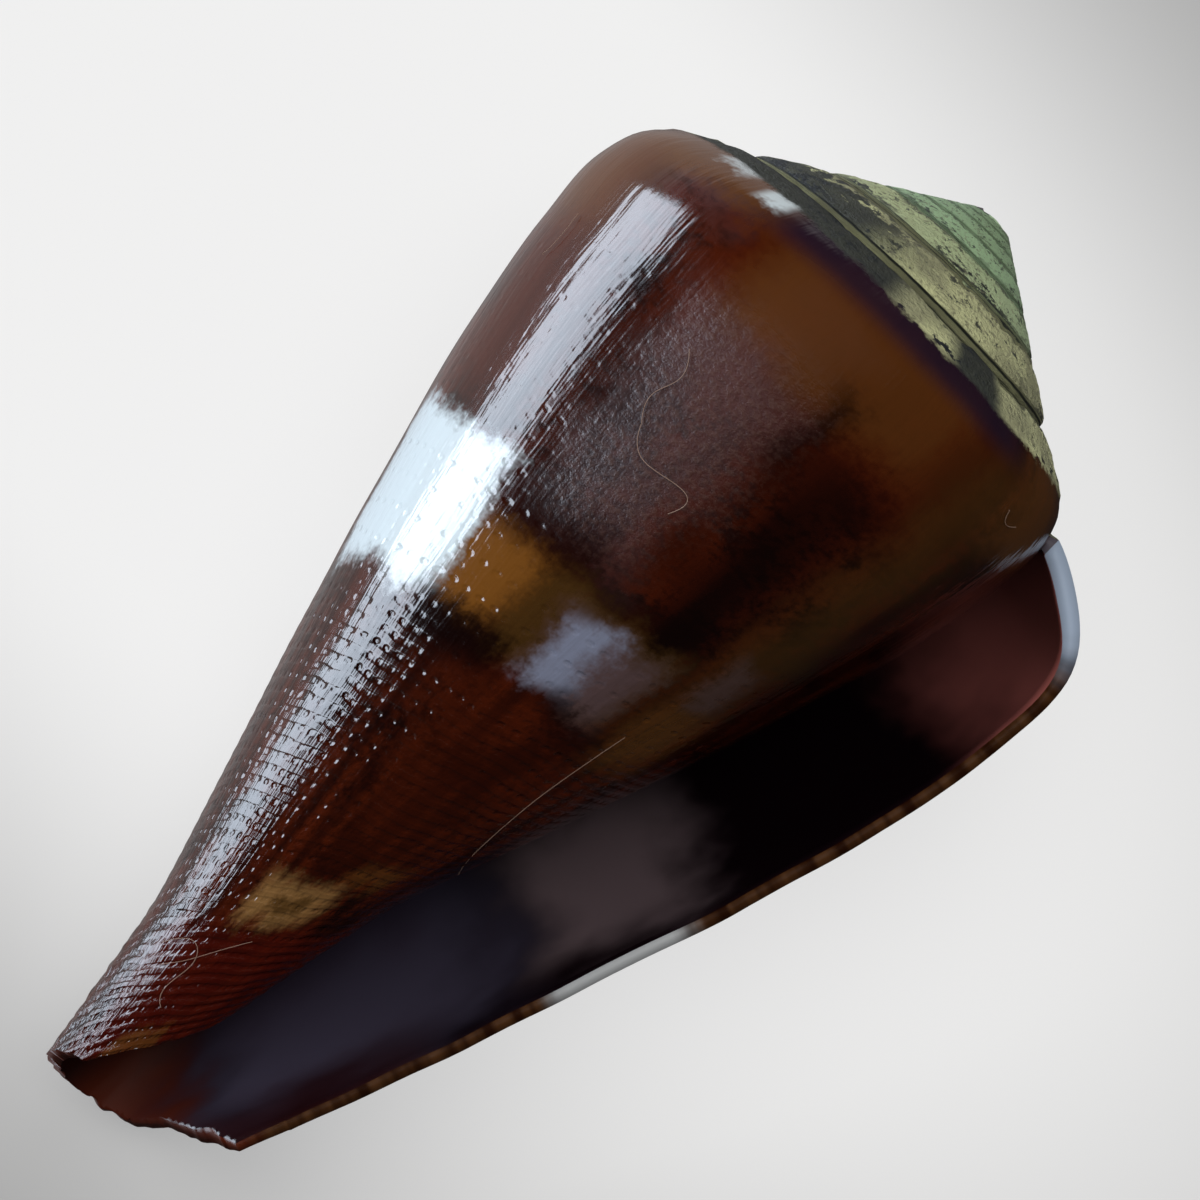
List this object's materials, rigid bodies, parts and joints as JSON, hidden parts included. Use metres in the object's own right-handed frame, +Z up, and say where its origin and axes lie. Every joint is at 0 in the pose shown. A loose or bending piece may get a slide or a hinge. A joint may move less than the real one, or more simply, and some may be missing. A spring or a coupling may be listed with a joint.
{
  "type": "cone shell",
  "caption": "Glossy brown sea snail shell shaped like a cone, with a low coiled spire and a long narrow aperture, lying on its back.",
  "frame": {"origin": "under the middle of the shell's bounding box, on the surface that it lies on", "axes": "+X towards the apex of the spire, -Y towards the outer lip, +Z up, out of the aperture"},
  "size_m": [0.031, 0.0176, 0.0162],
  "materials": {
    "shell": "glossy dark brown shell with pale blotches, pitted spiral rows, a green grey worn spire and a violet brown inside"
  },
  "bodies": {
    "root": {"cone_shell": "shell"}
  },
  "joints": []
}
